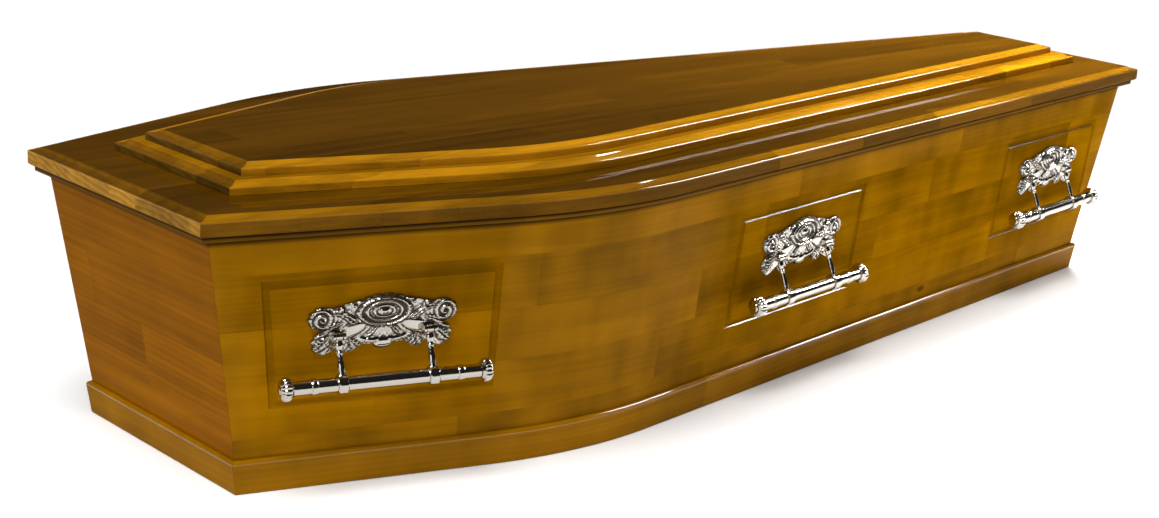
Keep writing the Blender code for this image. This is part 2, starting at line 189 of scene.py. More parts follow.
# Cast plate. Each lobe of its outline is centre across, centre up, half length and half height.
PLATE_CENTRE = 0.014
PLATE_HALF_LENGTH = 0.102
PLATE_HALF_HEIGHT = 0.042
PLATE_RIM = 0.0028
PLATE_DOME = 0.0030
PLATE_LOBES = (
    (0.0, 0.014, 0.086, 0.033),
    (0.0, 0.030, 0.040, 0.021),
    (0.079, 0.022, 0.022, 0.016),
    (0.080, -0.012, 0.015, 0.016),
    (0.046, -0.012, 0.014, 0.015),
    (0.0, -0.014, 0.014, 0.012),
)
PLATE_TURNS = 396
PLATE_RINGS = 54
SCALLOPS = 34
SCALLOP_DEPTH = 0.030
PLATE_EDGE = 0.0022            # width of the rounded edge
HOLLOW_REACH = 0.0026          # how far round a point its hollow is measured
HOLLOW_DEPTH = 0.0005          # depth at which a hollow is fully dark

# Stage
FLOOR_RADIUS = 14.0
FLOOR_SIDES = 96
FLOOR_DROP = 0.001
FLOOR_TONE = 0.90
SKY_STRENGTH = 0.02

SIDES = ("near", "far")
SPOTS = ("head", "middle", "foot")
LABELS = [side + "_" + spot for side in SIDES for spot in SPOTS]


# Shader graph


class Value:
    """A shader socket on which Python's arithmetic adds Math nodes."""

    def __init__(self, graph, socket):
        self.graph = graph
        self.socket = socket

    def math(self, operation, *others):
        inputs = dict(enumerate((self,) + others))
        return self.graph.add("ShaderNodeMath", {"operation": operation}, inputs)

    def __add__(self, other):
        return self.math("ADD", other)

    def __sub__(self, other):
        return self.math("SUBTRACT", other)

    def __rsub__(self, other):
        return self.graph.add("ShaderNodeMath", {"operation": "SUBTRACT"}, {0: other, 1: self})

    def __mul__(self, other):
        return self.math("MULTIPLY", other)

    def __truediv__(self, other):
        return self.math("DIVIDE", other)

    __radd__ = __add__
    __rmul__ = __mul__


class Graph:
    """Node tree of a new material, ending in its Principled shader."""

    def __init__(self, name):
        self.finish = bpy.data.materials.new(name)
        self.finish.use_nodes = True
        self.tree = self.finish.node_tree
        self.shader = self.tree.nodes["Principled BSDF"]

    def add(self, kind, settings=None, inputs=None, output=0):
        """Make a node, set it up, feed its sockets and give back one output."""
        node = self.tree.nodes.new(kind)
        for key, value in (settings or {}).items():
            setattr(node, key, value)
        for key, value in (inputs or {}).items():
            self.feed(node.inputs[key], value)
        return Value(self, node.outputs[output])

    def feed(self, socket, value):
        if isinstance(value, Value):
            self.tree.links.new(value.socket, socket)
        else:
            socket.default_value = value

    def shade(self, **values):
        """Set or link sockets of the Principled shader, named with underscores."""
        for key, value in values.items():
            self.feed(self.shader.inputs[key.replace("_", " ")], value)

    def split(self, vector):
        node = self.add("ShaderNodeSeparateXYZ", None, {0: vector}).socket.node
        return [Value(self, output) for output in node.outputs]

    def join(self, x, y, z):
        return self.add("ShaderNodeCombineXYZ", None, {0: x, 1: y, 2: z})

    def attribute(self, name, output="Fac"):
        return self.add("ShaderNodeAttribute", {"attribute_name": name}, None, output)

    def facing(self):
        """Parts of the true normal along the coffin, across it and up."""
        return self.split(self.add("ShaderNodeNewGeometry", None, None, "True Normal"))

    def noise(self, vector, scale, detail=3.0, roughness=0.55):
        inputs = {"Vector": vector, "Scale": scale, "Detail": detail, "Roughness": roughness}
        return self.add("ShaderNodeTexNoise", None, inputs)

    def mix(self, share, first, second, blend="MIX"):
        settings = {"data_type": "RGBA", "blend_type": blend}
        return self.add("ShaderNodeMix", settings, {0: share, 6: first, 7: second}, 2)

    def step(self, value, low, high):
        """Smooth step from 0 at low to 1 at high."""
        settings = {"interpolation_type": "SMOOTHSTEP"}
        inputs = {"Value": value, "From Min": low, "From Max": high}
        return self.add("ShaderNodeMapRange", settings, inputs)


# Finishes


def colour4(colour):
    return (*colour, 1.0)


def varnished_pine(name, look, stave, end_grain=False, shade_line=None):
    """Glued pine staves under varnish, with growth rings that run through the wood.

    The stave is its width and length. Below the shade line, a height and a depth, a band of
    painted shadow stands in for the shade under the rim or the lid.
    """
    graph = Graph(name)
    width, length = stave
    along, across, deep = graph.split(graph.attribute("grain", "Vector"))

    # Each stave has its own tone and its own place in the log
    rows = across * (1.0 / width) + FIRST_ROW
    row = rows.math("FLOOR")
    shift = graph.add("ShaderNodeTexWhiteNoise", {"noise_dimensions": "1D"}, {"W": row})
    cell = (along * (1.0 / length) + shift * 5.0 + 9.0).math("FLOOR")
    board = graph.add("ShaderNodeTexWhiteNoise", None, {"Vector": graph.join(row, cell, 3.0)})
    tone, off_across, off_deep = graph.split(Value(graph, board.socket.node.outputs["Color"]))

    # Growth rings round the heart, and finer variation stretched along the grain
    wander = graph.noise(graph.join(along * 1.3, across * 5.0, tone * 30.0), 1.0, 2.0)
    y = rows.math("FRACT") * width - width * PITH_ACROSS * off_across
    z = deep + off_deep * PITH_SPREAD + PITH_DEPTH
    reach = (y * y + z * z).math("SQRT") + wander * RING_WANDER
    ring = (reach * look.rings + wander * 2.0).math("FRACT")
    late = graph.step(ring, *LATE_WOOD) * (1.0 - graph.step(ring, LATE_WOOD[1], 1.0))
    fibre = graph.noise(graph.join(along * 7.0, across * 380.0, deep * 380.0), 1.0, 2.0)
    cloud = graph.noise(graph.join(along * 2.6, across * 15.0, tone * 9.0), 1.0, 3.0)
    figure = graph.noise(graph.join(along * 13.0, across * 6.0 + tone * 40.0, tone * 7.0), 1.0, 2.0, 0.5)
    streak = graph.noise(graph.join(along * 0.9, across * 60.0, deep * 60.0 + tone), 1.0, 3.0)

    # Colour, with painted light and shade on the lid: lit moulded edges, shaded flat tops and end grain
    base = graph.mix(late * look.grain, colour4(look.light), colour4(look.dark))
    if end_grain:
        edge = graph.attribute("edge")
        top = graph.mix(late * look.grain, colour4(look.top_light), colour4(look.top_dark))
        # Faces towards either end take less of the lit edge colour, as painted shade
        lengthwise, sideways = (part.math("ABSOLUTE") for part in graph.facing()[:2])
        end_facing_shade = graph.step(lengthwise / (lengthwise + sideways + 0.001), 0.55, 0.70)
        base = graph.mix(edge * (1.0 - end_facing_shade * 0.75), top, base)
        rings = graph.mix(late * 0.5, colour4(look.end_light), colour4(look.end_dark))
        base = graph.mix(graph.step(lengthwise, 0.55, 0.9), base, rings)
    shade = 1.0 + (tone - 0.5) * look.tone + (cloud - 0.5) * look.cloud + (fibre - 0.5) * look.fibre
    shade = shade + (streak - 0.5) * look.streak + (figure - 0.5) * look.figure
    seam = graph.step(rows.math("PINGPONG", 0.5) * width, 0.0, SEAM_WIDTH)
    knots = knot_mask(graph, along, across, deep)
    shade = shade * (1.0 - SEAM_SHADE + SEAM_SHADE * seam) * (1.0 - KNOT_SHADE * knots)
    # Painted shadow: a dark band below the shade line stands in for the shade under the rim or the lid
    if shade_line:
        clear = graph.step(shade_line[0] - across, 0.35 * shade_line[1], shade_line[1])
        shade = shade * (1.0 - LEDGE_SHADOW + LEDGE_SHADOW * clear)
    tint = graph.mix(1.0, base, graph.join(shade, shade, shade), "MULTIPLY")

    lit = graph.step(graph.facing()[2], *COAT_RISE) if look.catches_light else graph.attribute("polish")
    relief = late * 0.35 + fibre * 0.65
    bump = graph.add("ShaderNodeBump", None, {"Strength": 0.06, "Distance": 0.0005, "Height": relief})
    graph.shade(Base_Color=tint, Roughness=0.34 + (cloud - 0.5) * 0.10, Normal=bump,
                Coat_Weight=lit * look.coat, Coat_Roughness=look.gloss, Coat_IOR=1.5,
                Specular_IOR_Level=look.sheen)
    return graph.finish


def knot_mask(graph, along, across, deep):
    """Small round knots, one every few hand widths at most."""
    spread = graph.join(along * 5.2, across * 11.0, deep * 4.0)
    cells = graph.add("ShaderNodeTexVoronoi", {"feature": "F1"}, {"Vector": spread, "Scale": 1.0})
    node = cells.socket.node
    rare = graph.split(Value(graph, node.outputs["Color"]))[0]
    near = Value(graph, node.outputs["Distance"])
    return (1.0 - graph.step(near, 0.030, 0.085)) * graph.step(rare, 0.80, 0.86)


def bright_metal(name, look):
    """Bright plating, rougher in the hollows of the casting and darker there with painted shade."""
    graph = Graph(name)
    place = graph.add("ShaderNodeTexCoord", None, None, "Object")
    hollow = graph.attribute("hollow")
    speck = graph.noise(place, 210.0, 3.0)
    film = graph.noise(place, 38.0, 2.0)
    # Painted shade: the hollows darken towards the hollow colour
    dark = (hollow * (0.9 + 0.5 * film)).math("MINIMUM", 1.0)
    base = graph.mix(dark, colour4(look.metal), colour4(look.metal_dark))
    rough = 0.075 + film * 0.05 + dark * 0.25
    bump = graph.add("ShaderNodeBump", None, {"Strength": 0.12, "Distance": 0.0004, "Height": speck})
    graph.shade(Base_Color=base, Metallic=1.0, Roughness=rough, Normal=bump)
    return graph.finish


# Mesh building


def link(name, data):
    """Put a new object with the given data in the scene."""
    item = bpy.data.objects.new(name, data)
    bpy.context.scene.collection.objects.link(item)
    return item


def add_piece(kind, node, mesh, finish, body="coffin", place=None):
    """Put a mesh in the scene, tied to its body and to the node that it stands for."""
    if not mesh.materials:
        mesh.materials.append(finish)
    piece = link(kind + "_" + node, mesh)
    if place is not None:
        piece.matrix_world = place
    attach(piece, body)
    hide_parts(node)
    return piece


def smooth(mesh, sharp):
    mesh.shade_smooth()
    mesh.set_sharp_from_angle(angle=math.radians(sharp))
    return mesh


def finish_mesh(name, work, sharp=SHARP):
    bmesh.ops.recalc_face_normals(work, faces=work.faces)
    mesh = bpy.data.meshes.new(name)
    work.to_mesh(mesh)
    work.free()
    return smooth(mesh, sharp)


def add_boolean(piece, other, operation, **settings):
    step = piece.modifiers.new("boolean", "BOOLEAN")
    step.operation = operation
    step.solver = "EXACT"
    step.object = other
    for key, value in settings.items():
        setattr(step, key, value)


def evaluated_mesh(piece):
    """New mesh of a piece as its modifiers leave it."""
    graph = bpy.context.evaluated_depsgraph_get()
    return bpy.data.meshes.new_from_object(piece.evaluated_get(graph))


def around(count):
    """Angles spread evenly round a circle."""
    return [2 * math.pi * index / count for index in range(count)]


def quarter(radius):
    """How far in and how far short of its top a rounded edge lies, from its side to its top."""
    angles = [math.radians(90) * step / ROUND_STEPS for step in range(ROUND_STEPS + 1)]
    return [(radius * (1 - math.cos(angle)), radius * (1 - math.sin(angle))) for angle in angles]


def bridge(work, first, second):
    for index in range(len(first)):
        after = (index + 1) % len(first)
        work.faces.new((first[index], first[after], second[after], second[index]))


def loft(name, rings, grains=None, sharp=SHARP, marks=None):
    """Skin rings of points and cap both ends.

    Grains are the wood's own coordinates. Marks give attributes as one value for each ring,
    or one for each point where the section is the ring.
    """
    work = bmesh.new()
    layer = work.verts.layers.float_vector.new("grain")
    layers = {key: work.verts.layers.float.new(key) for key in marks or {}}
    loops = []
    for index, ring in enumerate(rings):
        loop = [work.verts.new(point) for point in ring]
        for number, (vertex, spot) in enumerate(zip(loop, grains[index] if grains else ring)):
            vertex[layer] = spot
            for key, values in (marks or {}).items():
                vertex[layers[key]] = values[number] if grains else values[index]
        loops.append(loop)
    for first, second in zip(loops, loops[1:]):
        bridge(work, first, second)
    work.faces.new(loops[0])
    work.faces.new(reversed(loops[-1]))
    return finish_mesh(name, work, sharp)


def closed_loft(name, rings, sharp=SHARP):
    """Skin rings of points into a body whose last ring joins the first."""
    work = bmesh.new()
    loops = [[work.verts.new(point) for point in ring] for ring in rings]
    for first, second in zip(loops, loops[1:] + loops[:1]):
        bridge(work, first, second)
    return finish_mesh(name, work, sharp)


# Plan


HEAD_RUN = (SHOULDER - HEAD_CORNER).normalized()
FOOT_RUN = (FOOT_CORNER - SHOULDER).normalized()


def inward(run):
    return Vector((run.y, -run.x))


def meet(run, corner, inset, x):
    start = corner + inward(run) * inset
    return start + run * ((x - start.x) / run.x)


def side_path(side, head, foot, back=0.0):
    """Half outline from the head corner to the foot corner, with a fine bend."""
    first = meet(HEAD_RUN, HEAD_CORNER, side, -HALF_LENGTH + head) + HEAD_RUN * back
    last = meet(FOOT_RUN, FOOT_CORNER, side, HALF_LENGTH - foot) - FOOT_RUN * back
    half = (inward(HEAD_RUN) + inward(FOOT_RUN)).normalized()
    centre = SHOULDER + half * (SHOULDER_RADIUS / half.dot(inward(HEAD_RUN)))
    start, end = (math.atan2(-inward(run).y, -inward(run).x) for run in (HEAD_RUN, FOOT_RUN))
    reach = SHOULDER_RADIUS - side
    bend = []
    for step in range(BEND_STEPS + 1):
        angle = start + (end - start) * step / BEND_STEPS
        bend.append(centre + Vector((math.cos(angle), math.sin(angle))) * reach)
    return [first, bend[0] - HEAD_RUN * BEND_MARGIN] + bend + [bend[-1] + FOOT_RUN * BEND_MARGIN, last]


def outline(side, head, foot, z):
    half = side_path(side, head, foot)
    return [(p.x, -p.y, z) for p in half] + [(p.x, p.y, z) for p in reversed(half)]


def wall_face(part, z):
    return WALL_INSET[part] + math.tan(WALL_LEAN[part]) * (CASE_TOP - z)


# Case


def wall_section(part):
    return [(wall_face(part, CASE_LOW), CASE_LOW), (wall_face(part, CASE_TOP), CASE_TOP),
            (wall_face(part, CASE_TOP) + WALL, CASE_TOP), (wall_face(part, CASE_LOW) + WALL, CASE_LOW)]


def plinth_section(part):
    plinth_round = sizes().plinth_round
    shoulder = PLINTH_TOP - plinth_round
    points = [(wall_face(part, z) - PLINTH_PROUD, z) for z in (0.0, shoulder - EDGE_FADE, shoulder)]
    for deep, short in quarter(plinth_round)[1:]:
        z = PLINTH_TOP - short
        points.append((wall_face(part, z) - PLINTH_PROUD + deep, z))
    points.append((wall_face(part, PLINTH_TOP) - GAP, PLINTH_TOP))
    points.append((wall_face(part, 0.0) - GAP, 0.0))
    return points


def rim_section(part):
    """Square-backed strip whose rounded edges share one mitre plane at each corner."""
    back = wall_face(part, CASE_TOP) - GAP
    rim_round = sizes().rim_round
    share = rim_round / (wall_face("side", CASE_TOP) - GAP - RIM_INSET)
    span = share * (back - RIM_INSET)
    arc = quarter(1.0)
    points = [(RIM_INSET + span * short, RIM_LOW + rim_round * deep) for deep, short in arc]
    points += [(RIM_INSET + span * short, CASE_TOP - rim_round * deep) for deep, short in reversed(arc)]
    return points + [(back, CASE_TOP), (back, RIM_LOW)]


def polished(section, index):
    """Full varnish on the rounded top of a section, little on its flat faces."""
    before, here, after = (Vector(section[(index + step) % len(section)]) for step in (-1, 0, 1))
    bend = math.degrees((here - before).angle(after - here))
    high = here.y > section[0][1] + ROUND_LIFT * PLINTH_TOP
    return 1.0 if high and ROUND_BEND[0] < bend < ROUND_BEND[1] else FACE_POLISH


def strips(names, section, finishes):
    """Four mitred pieces round the coffin, standing for the nodes of the same names."""
    side, head, foot = (section(part) for part in ("side", "head", "foot"))
    insets = [[point[0] for point in points] for points in zip(side, head, foot)]
    levels = [point[1] for point in side]
    paths = [side_path(*inset, MITRE_BACK) for inset in insets]
    corners = [side_path(*inset) for inset in insets]
    marks = {"polish": [polished(side, index) for index in range(len(side))]}
    pieces = []
    for name, sign in zip(names, (-1, 1)):
        rings, grains = [], []
        run = 0.0
        for station, spot in enumerate(paths[0]):
            run += (spot - paths[0][max(station - 1, 0)]).length
            rings.append([(path[station].x, sign * path[station].y, z) for path, z in zip(paths, levels)])
            grains.append([(run + SIDE_SHIFT * sign, z, inset) for inset, z in side])
        mesh = loft(name, rings, grains, marks=marks)
        pieces.append(add_piece("wood", name, mesh, finishes[0]))
    for name, station, points in zip(names[2:], (0, -1), (head, foot)):
        rings = [[(path[station].x, sign * (path[station].y - MITRE_BACK), z)
                  for path, z in zip(corners, levels)] for sign in (-1, 1)]
        grains = [[(spot[1] + END_SHIFT * station, z, inset) for spot, (inset, z) in zip(ring, points)]
                  for ring in rings]
        mesh = loft(name, rings, grains, marks=marks)
        pieces.append(add_piece("wood", name, mesh, finishes[1]))
    return pieces


# Lid


def moulded_edge(node, width, rise, chamfer=0.0):
    """Section of a board's edge from its underside up, as inset and height."""
    low, high = heights(node)
    top = high - rise
    edge_round = sizes().edge_round
    points = [(chamfer, low), (0.0, low + chamfer)] if chamfer else [(0.0, low)]
    points.append((0.0, top - edge_round - FACE_FADE))
    points += [(deep, top - short) for deep, short in quarter(edge_round)]
    span = width - edge_round
    slope = COVE_POWER * rise / span
    tangent = sizes().crease_round * math.tan(math.atan(slope) / 2)
    last = 1.0 - tangent * math.cos(math.atan(slope)) / span
    for step in range(1, COVE_STEPS + 1):
        share = last * step / COVE_STEPS
        points.append((edge_round + span * share, top + rise * share ** COVE_POWER))
    start, end = Vector(points[-1]), Vector((width + tangent, high))
    middle = Vector((width, high))
    for step in range(1, CREASE_STEPS + 1):
        share = step / CREASE_STEPS
        points.append(tuple(start.lerp(middle, share).lerp(middle.lerp(end, share), share)))
    return points + [(width + tangent + EDGE_FADE, high)]


def lid_piece(node, insets, edge, finish, flat=0.0, face=1.0):
    """Lid board whose painted lit edge tone fades from its upright face and coves to its shaded flat top.

    The edge is its cove's width and rise, and its chamfer if it has one. Flat and face are the
    shares of the painted lit edge tone on the top and on the upright face.
    """
    section = moulded_edge(node, *edge)
    rings = [outline(*(inset + x for inset in insets), z) for x, z in section]
    upright = len(section) - 2 - ROUND_STEPS - COVE_STEPS - CREASE_STEPS
    polish = [FACE_POLISH] * upright + [1.0] * (len(section) - 1 - upright) + [TOP_POLISH]
    # Shares of the lit edge colour against the shaded top colour, painted light and shade
    edges = [face] * upright + [1.0] * (len(section) - 1 - upright) + [flat]
    mesh = loft(node, rings, sharp=SHARP_BOARD, marks={"edge": edges, "polish": polish})
    add_piece("wood", node, mesh, finish)


# Handle frames


def handle_frame(label):
    """Frame on the hinge axis: X along the wall, -Y out of it, Z up it."""
    joint = next(j for j in frame["joints"] if j["name"] == "lift_handle_" + label)
    side = -1.0 if label.startswith("near") else 1.0
    along = -Vector(joint["axis"])
    out = Vector((along.y, -along.x, 0.0)).normalized()
    if out.y * side < 0.0:
        out = -out
    lean = WALL_LEAN["side"]
    up = out * math.sin(lean) + Vector((0, 0, 1)) * math.cos(lean)
    normal = out * math.cos(lean) - Vector((0, 0, 1)) * math.sin(lean)
    place = Matrix(((-normal).cross(up), -normal, up)).transposed().to_4x4()
    place.translation = Vector(joint["pos_m"])
    return place


def wall_frame(label):
    """The same frame moved back onto the face of the wall."""
    return handle_frame(label) @ Matrix.Translation((0.0, PIVOT_OUT, 0.0))


def groove_cutter(name, place, head_way, slant):
    """Ring with a channel's section that cuts the frame-shaped groove.

    The head way is the sign of the end towards the head, whose lower corner moves in.
    """
    width, depth = sizes().groove_width, sizes().groove_depth
    rings = []
    for way_x, way_z in ((-1, -1), (1, -1), (1, 1), (-1, 1)):
        ring = []
        shift = -head_way * slant if (way_x, way_z) == (head_way, -1) else 0.0
        for span, deep in GROOVE_SECTION:
            x = way_x * (GROOVE_LENGTH / 2 - width / 2 + width * span)
            z = way_z * (GROOVE_TALL / 2 - width / 2 + width * span)
            ring.append((x + shift, deep * depth, z - GROOVE_DROP))
        rings.append(ring)
    mesh = closed_loft(name, rings)
    mesh.transform(place)
    return mesh


def follow_grain(mesh):
    """Set the wood's own coordinates from how far each point lies along the side."""
    path = side_path(*WALL_INSET.values())
    layer = mesh.attributes.get("grain") or mesh.attributes.new("grain", "FLOAT_VECTOR", "POINT")
    values = []
    for vertex in mesh.vertices:
        x, y, z = vertex.co
        spot = Vector((x, abs(y)))
        run, best = 0.0, None
        for first, second in zip(path, path[1:]):
            way = second - first
            share = (spot - first).dot(way) / way.length_squared
            near = first + way * min(max(share, 0.0), 1.0)
            gap = (spot - near).length
            if best is None or gap < best[0]:
                best = (gap, run + share * way.length)
            run += way.length
        values.extend((best[1] + (SIDE_SHIFT if y < 0.0 else 2 * SIDE_SHIFT), z, best[0]))
    layer.data.foreach_set("vector", values)


def cut_grooves(board, side, finish):
    """Cut the three grooves into a side board and give them a finish of their own."""
    head_way = -1 if side == "near" else 1
    for spot in SPOTS:
        slant = GROOVE_SLANT if spot == "head" else 0.0
        mesh = groove_cutter("cutter", wall_frame(side + "_" + spot), head_way, slant)
        mesh.materials.append(finish)
        cutter = link("cutter", mesh)
        add_boolean(board, cutter, "DIFFERENCE", material_mode="TRANSFER")
        mesh = evaluated_mesh(board)
        board.modifiers.clear()
        board.data = mesh
        bpy.data.objects.remove(cutter, do_unlink=True)
    follow_grain(board.data)
    smooth(board.data, SHARP_BOARD)


# Cast plate


def lobe_exit(lobe, way):
    """How far a ray from the plate's centre runs before it leaves a lobe for good."""
    x, z, half_x, half_z = lobe
    px, pz = -x / half_x, (PLATE_CENTRE - z) / half_z
    wx, wz = way[0] / half_x, way[1] / half_z
    a, b, c = wx * wx + wz * wz, px * wx + pz * wz, px * px + pz * pz - 1.0
    inside = b * b - a * c
    return (-b + math.sqrt(inside)) / a if inside > 0.0 else 0.0


def plate_reach(turn):
    """Reach of the scalloped outline in the plate's stretched plan."""
    way = (PLATE_HALF_LENGTH * math.cos(turn), PLATE_HALF_HEIGHT * math.sin(turn))
    reach = 0.0
    for x, z, half_x, half_z in PLATE_LOBES:
        for side in (-1, 1):
            reach = max(reach, lobe_exit((side * x, z, half_x, half_z), way))
    scallop = abs(math.sin(SCALLOPS * (turn - math.pi / 2) / 2))
    return reach * (1.0 - SCALLOP_DEPTH * (1.0 - scallop))


def hill(distance, width):
    return math.exp(-(distance / width) ** 2)


def fade(value, low, high):
    share = min(max((value - low) / (high - low), 0.0), 1.0)
    return share * share * (3.0 - 2.0 * share)


def flutes(x, z, centre, count):
    """Ridges that spread from a centre like the ribs of a shell."""
    return abs(math.cos(count * math.atan2(z - centre[1], x - centre[0]) / 2))


# The ornament is laid out in millimetres, across and up from the middle of the hinge axis
MEDALLION_UP, MEDALLION_LONG, MEDALLION_TALL = 28, 33, 18
MEDALLION_BEADS = 13
EAR_ACROSS, EAR_UP = 82, 21


def medallion_ring(x, z):
    """How far out a point lies in the medallion, with 1 at its outer rib."""
    return math.hypot(x / MEDALLION_LONG, (z - MEDALLION_UP) / MEDALLION_TALL)


def medallion(x, z):
    """Oval cartouche of nested ribs round a dished centre with a boss."""
    ring = medallion_ring(x, z)
    height = 3.4 * hill(ring - 1.0, 0.10) + 2.6 * hill(ring - 0.70, 0.08) + 1.6 * hill(ring - 0.42, 0.07)
    height += 2.8 * hill(ring, 0.20) - 1.8 * hill(ring - 0.85, 0.07) - 2.2 * hill(ring - 0.56, 0.07)
    turn = math.atan2((z - MEDALLION_UP) / MEDALLION_TALL, x / MEDALLION_LONG)
    return height + 0.9 * hill(ring - 1.0, 0.06) * abs(math.sin(MEDALLION_BEADS * turn))


def crown(x, z):
    """Fluted arch above the medallion."""
    ring = medallion_ring(x, z)
    band = fade(ring, 1.12, 1.25) * fade(z, 26, 34) * fade(48 - x, 0, 10)
    return band * (1.0 + 1.9 * flutes(x, z, (0, 14), 26))


def ear(x, z):
    """Scroll at an upper outer corner, wound round its own eye."""
    across, up = x - EAR_ACROSS, z - EAR_UP
    reach, turn = math.hypot(across, up), math.atan2(up, across)
    wind = math.cos(2 * math.pi * reach / 7.5 + turn)
    height = 1.9 * wind * (1.0 - fade(reach, 15, 21)) + 2.4 * hill(reach, 3.6)
    return height + 1.2 * (1.0 - fade(reach, 13, 20))


def leaf(x, z, root, tip, half_width, rise, veins):
    """Leaf from its root to its tip, with a groove along it and slanting veins."""
    way_x, way_z = tip[0] - root[0], tip[1] - root[1]
    length = math.hypot(way_x, way_z)
    along = ((x - root[0]) * way_x + (z - root[1]) * way_z) / length ** 2
    across = ((z - root[1]) * way_x - (x - root[0]) * way_z) / length
    if not -0.2 < along < 1.2:
        return 0.0
    belly = half_width * max(math.sin(math.pi * min(max(along * 0.86 + 0.07, 0.0), 1.0)), 0.15)
    share = abs(across) / belly
    if share > 1.6:
        return 0.0
    ends = fade(along, -0.15, 0.15) * (1.0 - fade(along, 0.9, 1.15))
    body = rise * (1.0 - fade(share, 0.55, 1.25)) * ends
    vein = math.cos(2 * math.pi * (along * veins - abs(across) / half_width * 0.9))
    midrib = 0.8 * rise * hill(across, 0.9) * fade(along, 0.0, 0.2) if body > 0.2 * rise else 0.0
    return body * (1.0 + 0.34 * vein) - midrib


# Root, tip, half width, rise and number of veins of each leaf
LEAVES = (
    ((50, 22), (66, 42), 6.0, 2.4, 4), ((56, 16), (78, 8), 5.0, 2.2, 4), ((70, -2), (90, -20), 8.0, 2.8, 5),
    ((72, 6), (97, -2), 4.6, 2.2, 4), ((34, 12), (52, 26), 5.0, 2.2, 4), ((28, 8), (40, 22), 4.0, 1.8, 3),
    ((52, 30), (70, 30), 4.2, 1.9, 4), ((44, -8), (30, -24), 5.6, 2.2, 4), ((48, -8), (56, -25), 5.2, 2.2, 4),
    ((22, -4), (10, 8), 3.6, 1.8, 3), ((74, 36), (92, 34), 4.0, 1.8, 4),
)


def plate_height(x, z, strength):
    """Height of the plate above the wall, given and answered in metres."""
    across = (x / PLATE_HALF_LENGTH) ** 2 + ((z - PLATE_CENTRE) / PLATE_HALF_HEIGHT) ** 2
    x, z = abs(x) * 1000, z * 1000
    body = PLATE_RIM * 1000 + PLATE_DOME * 1000 * max(0.0, 1.0 - across)
    relief = medallion(x, z) + crown(x, z) + ear(x, z)
    for root, tip, half_width, rise, veins in LEAVES:
        relief = max(relief, leaf(x, z, root, tip, half_width, rise, veins) + 0.35 * relief)
    grit = noise.noise(Vector((x * 0.16, z * 0.16, 4.0)))
    grit += 0.5 * noise.noise(Vector((x * 0.4, z * 0.4, 9.0)))
    relief += 0.9 * abs(grit)
    # Smooth lobe beside the medallion
    lobe = math.hypot((x - 43) / 19, (z - 5 + (x - 43) * 0.30) / 9.5)
    plain = 1.0 - fade(lobe, 0.80, 1.12)
    relief = relief * (1.0 - plain) + plain * (3.4 * math.sqrt(max(0.0, 1.15 - lobe ** 2)))
    # Belt that sags below the medallion, and the boss at its middle
    band = z + 13 - 17 * (x / 60) ** 2
    belt = hill(band, 4.2) * (1.0 - fade(x, 26, 40))
    relief = relief * (1.0 - belt) + 3.3 * belt
    boss = math.hypot(x / 13, (z + 16) / 6.5)
    cover = 1.0 - fade(boss, 0.8, 1.1)
    relief = relief * (1.0 - cover) + cover * 3.8 * math.sqrt(max(0.0, 1.2 - boss ** 2))
    # Plain ground where the lugs of the hinge stand
    hollow = hill(math.hypot(x - 61, max(z, 0.0)), 9.5) * (1.0 - fade(-z, 14, 26))
    return (body + relief * strength * (1.0 - hollow) ** 2) / 1000


def plate_mesh():
    """Height field on rings between the plate's centre and its outline, with a flat back."""
    strength = sizes().plate_relief
    turns = around(PLATE_TURNS)
    reaches = [plate_reach(turn) for turn in turns]

    def spot(turn, reach, share):
        return (PLATE_HALF_LENGTH * math.cos(turn) * reach * share,
                PLATE_CENTRE + PLATE_HALF_HEIGHT * math.sin(turn) * reach * share)

    rings = [[(*spot(t, r, 1.0), height) for t, r in zip(turns, reaches)]
             for height in (0.0, 0.4 * PLATE_RIM)]
    for index in range(PLATE_RINGS, 0, -1):
        share = (index - 0.4) / PLATE_RINGS
        ring = []
        for turn, reach in zip(turns, reaches):
            x, z = spot(turn, reach, share)
            outer = spot(turn, reach, 1.0)
            rim = min(math.hypot(outer[0] - x, outer[1] - z) / PLATE_EDGE, 1.0)
            height = plate_height(x, z, strength)
            ring.append((x, z, height * (0.45 + 0.55 * math.sqrt(1.0 - (1.0 - rim) ** 2))))
        rings.append(ring)
    work = bmesh.new()
    layer = work.verts.layers.float.new("hollow")
    loops = []
    for index, ring in enumerate(rings):
        loop = []
        for x, z, height in ring:
            vertex = work.verts.new((x, -height, z))
            if index > 1:
                vertex[layer] = plate_hollow(x, z, height, strength)
            loop.append(vertex)
        loops.append(loop)
    work.faces.new(loops[0])
    for first, second in zip(loops, loops[1:]):
        bridge(work, first, second)
    top = work.verts.new((0.0, -plate_height(0.0, PLATE_CENTRE, strength), PLATE_CENTRE))
    for index, vertex in enumerate(loops[-1]):
        work.faces.new((vertex, loops[-1][(index + 1) % PLATE_TURNS], top))
    return finish_mesh("handle plate", work, SHARP_CAST)


def plate_hollow(x, z, height, strength):
    """How far a point lies below the casting around it, from 0 to 1."""
    ways = [(a * HOLLOW_REACH, b * HOLLOW_REACH) for a, b in ((1, 0), (-1, 0), (0, 1), (0, -1))]
    nearby = sum(plate_height(x + a, z + b, strength) for a, b in ways) / len(ways)
    return min(max((nearby - height) / HOLLOW_DEPTH, 0.0), 1.0)


# Hinges, arms, bars and caps


def turned(name, profile, sides=TURNED_SIDES, flute=None, sharp=SHARP_TURNED):
    """Round body along X from pairs of place and radius, with flutes if given."""
    rings = []
    for x, radius in profile:
        ring = []
        for angle in around(sides):
            reach = radius * (flute(x, angle) if flute else 1.0)
            ring.append((x, reach * math.cos(angle), reach * math.sin(angle)))
        rings.append(ring)
    return loft(name, rings, sharp=sharp)


